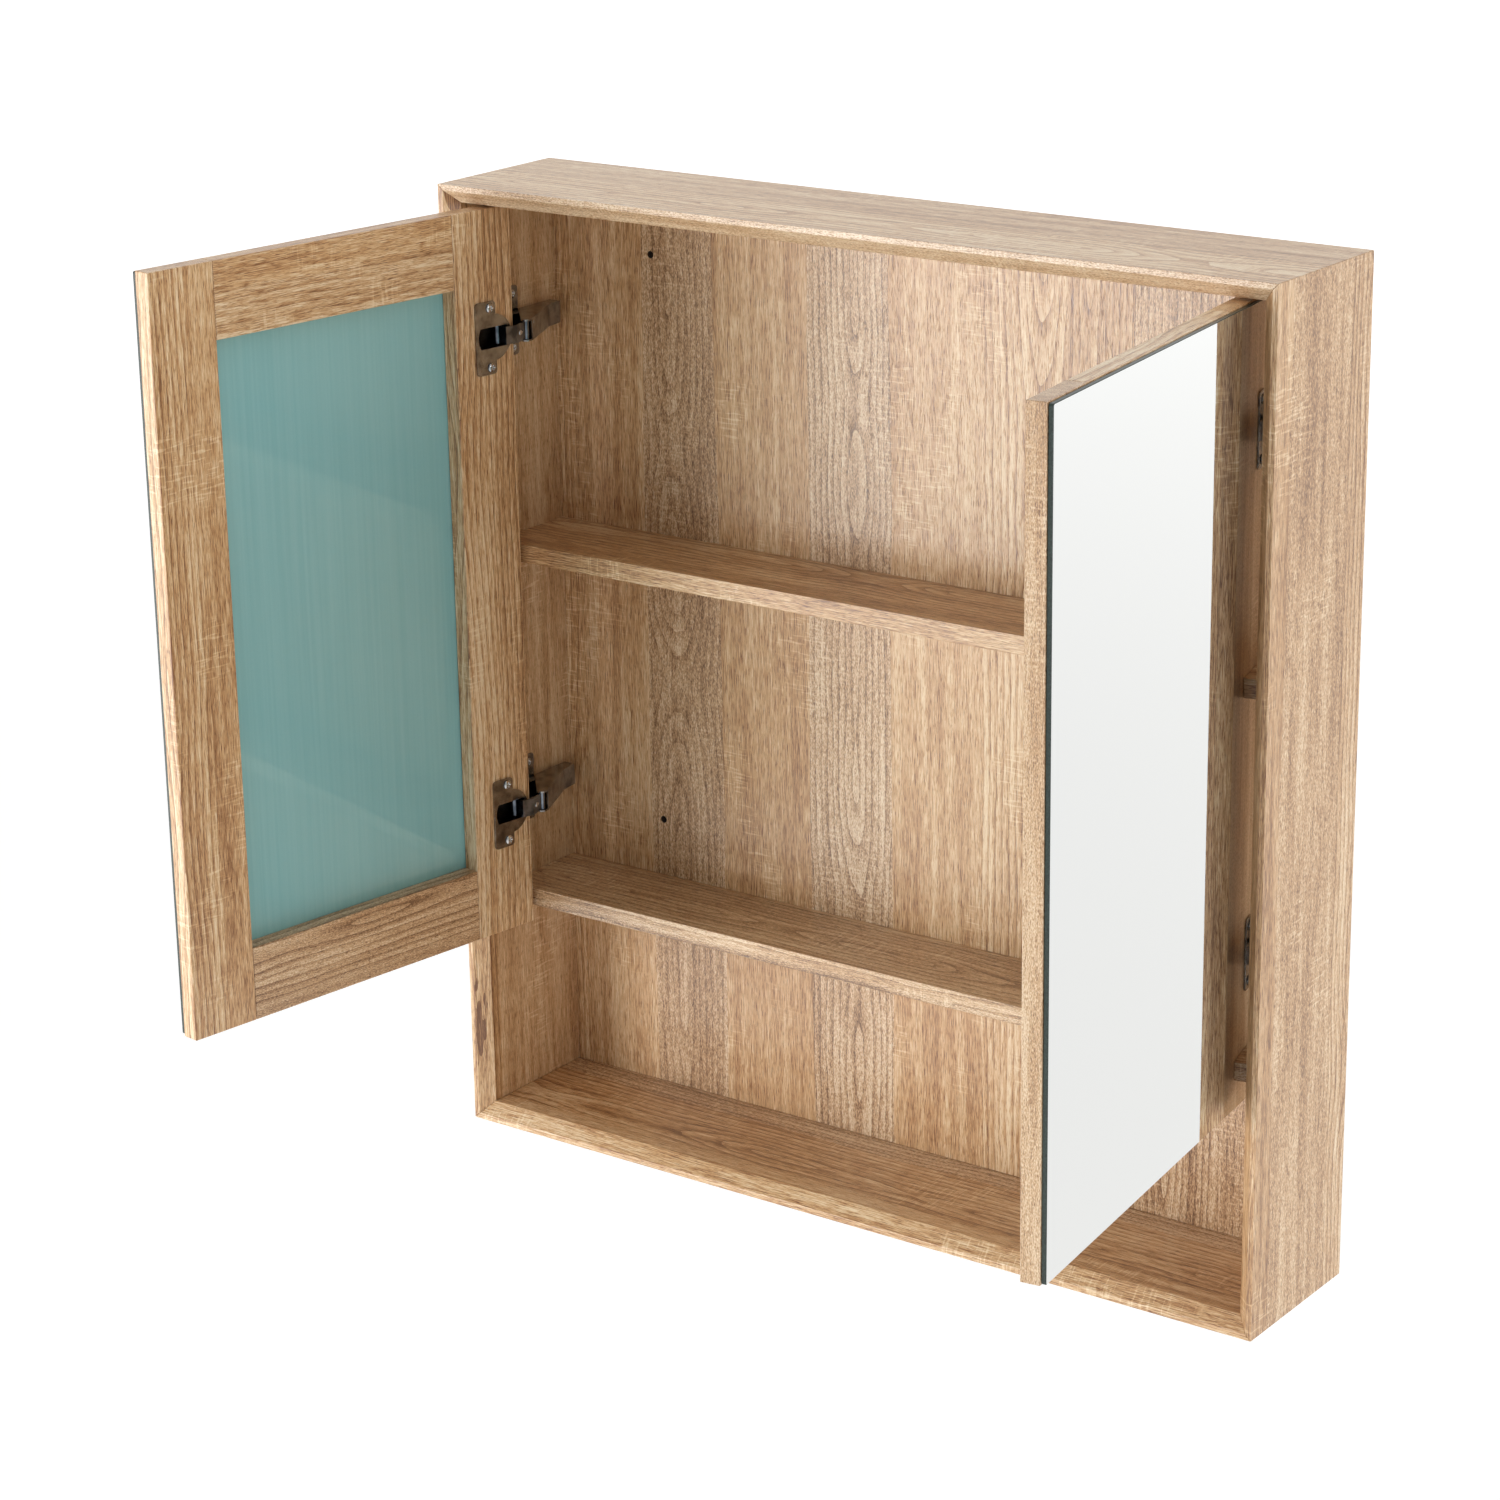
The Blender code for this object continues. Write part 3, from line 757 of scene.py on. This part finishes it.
@dataclass(frozen=True)
class Leaf:
    """A door's own axes at rest: across from the hinge edge, and out past the mirror."""

    side: str
    across: Array
    out: Array

    @classmethod
    def of(cls, side: str, frame: dict[str, Any]) -> "Leaf":
        """Reads how far the door stands open and turns the closed axes by that.

        Args:
            side: left or right.
            frame: the loaded frame.

        Returns:
            The door's axes. The net turn is the door's closing travel less its links' share.
        """
        joints = {j["name"]: j for j in frame["joints"] if j["name"].startswith(side)}
        pairs = frame["record"]["behaviour"]["couplings"]
        share = next(c["ratio"] for c in pairs if c["follows"] == f"{side}_door_pivot")
        open_angle = math.radians(joints[f"{side}_door_pivot"]["range_deg"][1] * (1 + share))
        sign = 1.0 if side == "left" else -1.0
        across = np.array([sign * math.cos(open_angle), -math.sin(open_angle), 0.0])
        out = np.array([-sign * math.sin(open_angle), -math.cos(open_angle), 0.0])
        return cls(side, across, out)

    def span(self, node: str, direction: Array) -> tuple[float, float]:
        """The least and greatest reach of a node's points along a direction."""
        reach = read(bpy.data.objects[node].data.vertices, "co", 3) @ direction
        return float(reach.min()), float(reach.max())


# --- Sub-assemblies ------------------------------------------------------------------------


class Grain(Enum):
    """The ways that a board's grain runs on this cabinet."""

    UPRIGHT_FACING_SIDE = "upright, face to the side"
    UPRIGHT_FACING_FRONT = "upright, face to the front"
    LEVEL = "level, along the cabinet"


@dataclass
class Boards:
    """The carcass and shelves: solids kept, with eased arrises and their own cut of foil."""

    foil: OakFoil = field(default_factory=OakFoil)
    arris: float = 0.45 * MM
    bore_wall_least: float = 1 * MM * MM
    bore_wall_most: float = 30 * MM * MM
    first_cut: Triple = (0.2, 0.0, 0.4)
    next_cut: Triple = (0.731, 1.37, 0.917)
    grains: dict[str, Grain] = field(
        default_factory=lambda: {
            "left_side": Grain.UPRIGHT_FACING_SIDE,
            "right_side": Grain.UPRIGHT_FACING_SIDE,
            "back_panel": Grain.UPRIGHT_FACING_FRONT,
            "top_panel": Grain.LEVEL,
            "bottom_panel": Grain.LEVEL,
            "upper_shelf": Grain.LEVEL,
            "lower_shelf": Grain.LEVEL,
        }
    )

    @staticmethod
    def ease(obj: bpy.types.Object, width: float) -> None:
        """Rounds a solid's edges a little, as foil does where it is folded over board."""
        weld = obj.modifiers.new("weld", "WELD")
        weld.merge_threshold = 0.02 * MM
        bevel = obj.modifiers.new("arris", "BEVEL")
        bevel.width = width
        bevel.segments = 2
        bevel.limit_method = "ANGLE"
        bevel.angle_limit = math.radians(30)
        bevel.harden_normals = True

    def axes(self, grain: Grain, number: int) -> BoardAxes:
        """Directions for one of the three ways, and a cut of the foil for the board's number."""
        x, y, z = (1.0, 0.0, 0.0), (0.0, 1.0, 0.0), (0.0, 0.0, 1.0)
        ways = {
            Grain.UPRIGHT_FACING_SIDE: (y, x, z),
            Grain.UPRIGHT_FACING_FRONT: (x, y, z),
            Grain.LEVEL: (y, z, x),
        }
        across, through, along = ways[grain]
        if np.linalg.det(np.array([across, through, along])) < 0:
            through = tuple(-c for c in through)
        cut = tuple(float(v) for v in np.array(self.next_cut) * number + self.first_cut)
        return BoardAxes(across, through, along, cut)

    def build(self, nodes: dict[str, bpy.types.Object]) -> None:
        """Dresses each board, and gives the walls of the back's wall holes a near-black chip
        pattern as painted shade.
        """
        bore_shade = BoreChipsPaintedShade().build("bore_chips_painted_shade")
        for number, (name, grain) in enumerate(self.grains.items()):
            obj = nodes[name]
            if name != "back_panel":  # its edges are all let into the other boards
                self.ease(obj, self.arris)
            dress(obj, self.foil.build(f"oak_foil_{name}", self.axes(grain, number)), bore_shade)
            LOG.info("board %s", name)
        back = nodes["back_panel"].data
        # The hole walls take the second slot: near-black chips, painted shade.
        choose(back, self.in_bore(back))

    def in_bore(self, mesh: bpy.types.Mesh) -> Array:
        """True for narrow faces that run through the back, as a round hole's wall does."""
        through = np.abs(read(mesh.polygons, "normal", 3)[:, 1]) < 0.1
        area = read(mesh.polygons, "area")
        return through & (area > self.bore_wall_least) & (area < self.bore_wall_most)


@dataclass
class MirrorDoor:
    """One door: framed in oak foil, with a mirror whose back shows through the frame."""

    leaf: Leaf
    foil: OakFoil = field(default_factory=OakFoil)
    glass_arris: float = 0.5 * MM
    glass_corner: float = 1.5 * MM
    first_cut: Triple = (3.1, 0.0, 1.9)
    next_cut: Triple = (0.413, 0.77, 0.619)

    def frame_axes(self, level: bool, number: int) -> BoardAxes:
        """Grain directions of a stile, or of a rail where level is true, and its cut of foil."""
        across, out, up = self.leaf.across, self.leaf.out, np.array([0.0, 0.0, 1.0])
        rows = (up, out, across) if level else (across, out, up)
        if np.linalg.det(np.array(rows)) < 0:
            rows = (rows[0], -rows[1], rows[2])
        rows = (*rows, np.array(self.next_cut) * number + self.first_cut)
        return BoardAxes(*(tuple(float(c) for c in row) for row in rows))

    def dress_frame(self, nodes: dict[str, bpy.types.Object]) -> None:
        """Gives each stile and rail its foil, numbered from 10 on the left and 20 on the right."""
        first = 10 * (1 + SIDES.index(self.leaf.side))
        names = ("hinge_stile", "free_stile", "top_rail", "bottom_rail")
        for number, part in enumerate(names, first):
            obj = nodes[f"{self.leaf.side}_door_{part}"]
            axes = self.frame_axes(part.endswith("rail"), number)
            dress(obj, self.foil.build(f"oak_foil_{obj.name}", axes))
            LOG.info("door frame %s", obj.name)

    def mirror(self) -> bpy.types.Object:
        """Builds the mirror as a plate with ground arrises.

        The outline is a rounded rectangle in the door's plane. It is carried through the
        thickness along a profile that draws in by the arris at the back and the front.

        Returns:
            The mirror, with silver in front, teal behind and bare glass at its edge.
        """
        side, across, out = self.leaf.side, self.leaf.across, self.leaf.out
        up = np.array([0.0, 0.0, 1.0])
        node = f"{side}_door_mirror"
        low, high = self.leaf.span(node, across)
        back, front = self.leaf.span(node, out)
        bottom, top = (corner[2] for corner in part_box(node))
        arris = self.glass_arris
        profile = [(arris, back), (0.0, back + arris), (0.0, front - arris), (arris, front)]
        middle = across * (low + high) / 2 + up * (bottom + top) / 2
        rings = []
        for inset, depth in profile:
            width, height = high - low - 2 * inset, top - bottom - 2 * inset
            flat = rounded_outline(width, height, self.glass_corner)
            rings.append(flat[:, :1] * across + flat[:, 1:] * up + middle + out * depth)
        surface = Surface(np.array(rings))
        obj = surface.to_object(f"{side}_mirror_plate", f"{side}_door", 20.0)
        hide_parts(node)
        dress(
            obj,
            GlassEdge().build(f"ground_glass_{side}"),
            MirrorSilver().build(f"mirror_silver_{side}"),
            MirrorBackPaint().build(f"mirror_lacquer_{side}"),
        )
        facing = np.abs(read(obj.data.polygons, "normal", 3) @ out) > 0.9
        in_front = read(obj.data.polygons, "center", 3) @ out > (back + front) / 2
        edge_slot, silver_slot, lacquer_slot = range(3)
        broad = np.where(in_front, silver_slot, lacquer_slot)
        choose(obj.data, np.where(facing, broad, edge_slot))
        LOG.info("mirror %s", obj.name)
        return obj

    def build(self, nodes: dict[str, bpy.types.Object]) -> None:
        """Dresses the frame and makes the mirror."""
        self.dress_frame(nodes)
        self.mirror()


@dataclass(frozen=True)
class ScrewShape:
    """A pan head screw with a cross recess; lengths in metres, shares of the radius or height."""

    middle: float = 0.01
    shoulder: float = 0.3
    crown_power: float = 3.2
    trough_power: int = 4
    shank_share: float = 0.8
    tip_share: float = 0.02
    recess_reach: float = 2.3 * MM
    recess_half_width: float = 0.62 * MM
    recess_depth: float = 1.1 * MM
    head_height: float = 1.6 * MM
    shank_radius: float = 1.7 * MM
    rings: int = 26
    steps: int = 96

    def rows(self, radius: float, length: float) -> Array:
        """Points of the screw about its own axis, from the head's middle out, over and down.

        The crown falls from the middle with a power of the radius. The recess is the deeper of
        two crossed grooves, each a rounded trough that gets shallower towards its ends. The
        head's side, its underside, the shank and the tip follow as plain rings.

        Args:
            radius: the head's radius.
            length: from the head's top to the tip.

        Returns:
            Rows of (x, y, height), with the top at height 0.
        """
        angle = np.linspace(0, 2 * np.pi, self.steps, endpoint=False)
        ring = np.linspace(self.middle, 1.0, self.rings)[:, None] * radius
        x, y = ring * np.cos(angle), ring * np.sin(angle)
        fall = self.head_height * (1 - self.shoulder)
        crown = np.broadcast_to(-fall * (ring / radius) ** self.crown_power, x.shape)

        def groove(along: Array, across: Array) -> Array:
            """Depth of one groove of the cross."""
            fade = np.clip(1 - (along / self.recess_reach) ** 2, 0, 1)
            trough = 1 - (across / self.recess_half_width) ** self.trough_power
            return fade * np.clip(trough, 0, 1)

        recess = self.recess_depth * np.maximum(groove(x, y), groove(y, x))
        top = np.stack([x, y, crown - recess], -1)
        below = np.array(
            [
                (radius, -self.head_height),
                (self.shank_radius, -self.head_height),
                (self.shank_radius, -self.shank_share * length),
                (self.tip_share * radius, -length),
            ]
        )
        circle = np.stack([np.cos(angle), np.sin(angle)], -1)
        heights = np.broadcast_to(below[:, None, 1:], (len(below), self.steps, 1))
        rest = np.concatenate([below[:, None, :1] * circle, heights], -1)
        return np.concatenate([top, rest])


@dataclass
class CupHinge:
    """One concealed hinge: cup, arm, plate, links and its four screws."""

    leaf: Leaf
    level: str
    steel: bpy.types.Material
    bright: bpy.types.Material
    strap: bpy.types.Material
    shadow: bpy.types.Material
    screw_shape: ScrewShape = field(default_factory=ScrewShape)
    ease: float = 0.4 * MM
    link_ease: float = 0.3 * MM
    flange: float = 1.6 * MM
    drop_length: float = 7.5 * MM
    drop_half: float = 2.3 * MM
    drop_rise: float = 0.9 * MM
    drop_sunk: float = 0.3 * MM
    drop_back: float = 0.6
    drop_taper: float = 0.25

    @property
    def name(self) -> str:
        """The start of this hinge's node names."""
        return f"{self.leaf.side}_{self.level}_hinge"

    def pressed(self, nodes: dict[str, bpy.types.Object]) -> None:
        """Plates the cup, arm, mounting plate and links, with edges eased as by a press."""
        for part in ("cup", "arm", "plate", "inner_link", "outer_link"):
            obj = nodes[f"{self.name}_{part}"]
            link = part.endswith("link")
            Boards.ease(obj, self.link_ease if link else self.ease)
            dress(obj, self.strap if link else self.steel, self.shadow)
        # Faces of the cup that lie deeper in the stile than its flange get near-black steel:
        # painted shade.
        cup = nodes[f"{self.name}_cup"].data
        _, outermost = self.leaf.span(f"{self.name}_cup", -self.leaf.out)
        depth = outermost + read(cup.polygons, "center", 3) @ self.leaf.out
        choose(cup, depth > self.flange)

    def screw(self, part: str, axis: Array, body: str) -> None:
        """Makes one screw on the axis of its node, the head towards the axis direction.

        Args:
            part: the rest of the node's name.
            axis: unit vector out of the head.
            body: the body that it rides.
        """
        node = f"{self.name}_{part}"
        up = np.array([0.0, 0.0, 1.0])
        side = np.cross(axis, up)
        tip, top = self.leaf.span(node, axis)
        low, high = self.leaf.span(node, up)
        left, right = self.leaf.span(node, side)
        rows = self.screw_shape.rows((high - low) / 2, top - tip)
        centre = up * (low + high) / 2 + side * (left + right) / 2 + axis * top
        placed = rows[..., :1] * side + rows[..., 1:2] * up + rows[..., 2:] * axis + centre
        obj = Surface(placed).to_object(f"{self.name}_cross_{part}", body, 40.0)
        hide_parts(node)
        dress(obj, self.bright)

    def screws(self) -> None:
        """Makes the two cup screws and the two plate screws."""
        inwards = np.array([1.0 if self.leaf.side == "left" else -1.0, 0.0, 0.0])
        for end in ("upper", "lower"):
            self.screw(f"cup_screw_{end}", -self.leaf.out, f"{self.leaf.side}_door")
            self.screw(f"plate_screw_{end}", inwards, "carcass")

    def drop(self, nodes: dict[str, bpy.types.Object]) -> None:
        """Presses a teardrop into the outer link's broad face.

        In the face's plane the outline is a circle drawn out to a point on one side; its height
        is a dome over that outline. It stands on the link's largest flat that faces the room,
        found from the largest face and the faces that lie in one plane with it.
        """
        faces = nodes[f"{self.name}_outer_link"].data.polygons
        room = np.array([0.6 if self.leaf.side == "left" else -0.6, -0.8, 0.0])
        normals, centres = read(faces, "normal", 3), read(faces, "center", 3)
        areas = read(faces, "area")
        best = normals[np.argmax(areas * (normals @ room > 0.2))]
        level = normals @ best > 0.999
        heights = (centres - centres[np.argmax(areas * level)]) @ best
        same = level & (np.abs(heights) < 0.1 * MM)
        middle = (centres * areas[:, None])[same].sum(0) / areas[same].sum()
        up = np.array([0.0, 0.0, 1.0])
        along = np.cross(up, best)
        angle = np.linspace(0, 2 * np.pi, 40, endpoint=False)
        cosine, sine = np.cos(angle), np.sin(angle)
        point = self.drop_length / self.drop_half - 2
        stretch = np.where(cosine > 0, cosine**2, 0) * point
        outline = np.stack([cosine + stretch, sine * (1 - self.drop_taper * stretch)], -1)
        share = np.array([1.0, 0.97, 0.85, 0.66, 0.45, 0.2, 0.02])
        rise = self.drop_rise * np.sqrt(1 - share**2)
        flat = self.drop_half * (share[:, None, None] * outline - np.array([self.drop_back, 0]))
        rows = flat[..., :1] * along + flat[..., 1:] * up + rise[:, None, None] * best + middle
        base = rows[:1] - best * self.drop_sunk
        surface = Surface(np.concatenate([base, rows]))
        body = f"{self.leaf.side}_hinge_links"
        obj = surface.to_object(f"{self.name}_link_drop", body, 60.0)
        dress(obj, self.bright)

    def build(self, nodes: dict[str, bpy.types.Object]) -> None:
        """Dresses the whole hinge."""
        self.pressed(nodes)
        self.screws()
        self.drop(nodes)
        LOG.info("hinge %s", self.name)


@dataclass
class Studio:
    """White surroundings, tall softboxes at the front left, left and right, and the camera."""

    focal_length: float = 94.53
    sensor: float = 36.0
    azimuth: float = 36.19
    elevation: float = 18.28
    roll: float = -0.95
    distance: float = 3.17027
    target: Triple = (-0.13353, -0.065, -0.0477)
    floor_drop: float = 0.85
    floor_reach: float = 30.0
    sky_behind: float = 1.0
    sky_before: float = 0.42
    sky_turns: tuple[float, float] = (-0.5, 0.3)
    key_power: float = 58.0
    key_place: Triple = (-1.75, -3.0, 0.05)
    key_size: tuple[float, float] = (1.2, 1.9)
    side_power: float = 28.0
    side_place: Triple = (3.3, -0.7, 0.5)
    side_size: tuple[float, float] = (2.0, 2.2)
    edge_power: float = 22.0
    edge_place: Triple = (-3.0, -1.8, -0.3)
    edge_size: tuple[float, float] = (1.4, 2.0)

    def camera(self) -> None:
        """Places the camera on a sphere about the target, then rolls it about its own axis."""
        azimuth, elevation = math.radians(self.azimuth), math.radians(self.elevation)
        level = math.cos(elevation)
        back = Vector((math.sin(azimuth) * level, -math.cos(azimuth) * level, math.sin(elevation)))
        data = bpy.data.cameras.new("camera")
        data.lens = self.focal_length
        data.sensor_width = self.sensor
        camera = bpy.data.objects.new("camera", data)
        camera.location = Vector(self.target) + back * self.distance
        camera.rotation_mode = "QUATERNION"
        turn = (-back).to_track_quat("-Z", "Y")
        camera.rotation_quaternion = turn @ Quaternion((0, 0, 1), math.radians(self.roll))
        bpy.context.scene.collection.objects.link(camera)
        bpy.context.scene.camera = camera

    def softbox(self, name: str, place: Triple, size: tuple[float, float], power: float) -> None:
        """Hangs a rectangular light at a place, facing the cabinet."""
        data = bpy.data.lights.new(name, "AREA")
        data.shape = "RECTANGLE"
        data.size, data.size_y = size
        data.energy = power
        light = bpy.data.objects.new(name, data)
        light.location = place
        light.rotation_mode = "QUATERNION"
        light.rotation_quaternion = (-Vector(place)).to_track_quat("-Z", "Y")
        bpy.context.scene.collection.objects.link(light)

    def surroundings(self, lowest: float) -> None:
        """Lays the floor well below the cabinet, which hangs on a wall, and whitens the sky."""
        z, reach = lowest - self.floor_drop, self.floor_reach
        corners = [(-reach, -reach, z), (reach, -reach, z), (reach, reach, z), (-reach, reach, z)]
        mesh = bpy.data.meshes.new("floor")
        mesh.from_pydata(corners, [], [(0, 1, 2, 3)])
        floor = bpy.data.objects.new("floor", mesh)
        bpy.context.scene.collection.objects.link(floor)
        dress(floor, PaleFloor().build("studio_paper"))
        floor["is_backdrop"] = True
        world = bpy.data.worlds.new("white_room")
        world.use_nodes = True
        tree = world.node_tree
        way = add_node(tree, "ShaderNodeTexCoord").outputs["Object"]
        deep = add_node(tree, "ShaderNodeSeparateXYZ", {0: way}).outputs["Y"]
        strength = add_node(
            tree,
            "ShaderNodeMapRange",
            {
                "Value": deep,
                "From Min": self.sky_turns[0],
                "From Max": self.sky_turns[1],
                "To Min": self.sky_before,
                "To Max": self.sky_behind,
            },
        )
        sky = tree.nodes["Background"]
        sky.inputs["Color"].default_value = (1.0, 1.0, 1.0, 1.0)
        tree.links.new(strength.outputs[0], sky.inputs["Strength"])
        bpy.context.scene.world = world

    def build(self, lowest: float) -> None:
        """Sets up the whole studio."""
        self.camera()
        self.surroundings(lowest)
        self.softbox("key_softbox", self.key_place, self.key_size, self.key_power)
        self.softbox("side_softbox", self.side_place, self.side_size, self.side_power)
        self.softbox("edge_softbox", self.edge_place, self.edge_size, self.edge_power)
        bpy.context.scene.view_settings.view_transform = "Standard"


def main() -> None:
    """Builds the cabinet's looks in order, then the studio."""
    logging.basicConfig(level=logging.INFO, format="%(message)s")
    for obj in list(bpy.data.objects):
        bpy.data.objects.remove(obj, do_unlink=True)
    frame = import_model()
    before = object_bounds()
    nodes = frame["nodes"]
    Boards().build(nodes)
    steel = PlatedSteel().build("nickel_plated_steel")
    bright = PlatedSteel("#d3d3d3", "#b4b6b9", roughness=0.17).build("bright_nickel_steel")
    link = PlatedSteel("#858c96", "#525861", roughness=0.2).build("dark_link_steel")
    # Near-black steel for the inside of the cups: painted shade.
    shadow = PlatedSteel("#2a2724", "#151312", roughness=0.3).build("cup_painted_shade_steel")
    for side in SIDES:
        leaf = Leaf.of(side, frame)
        MirrorDoor(leaf).build(nodes)
        for level in LEVELS:
            CupHinge(leaf, level, steel, bright, link, shadow).build(nodes)
    for name, obj in nodes.items():
        if name.startswith("shelf_pin"):
            dress(obj, bright)
    Studio().build(float(before[0][2]))


if __name__ == "__main__":
    main()
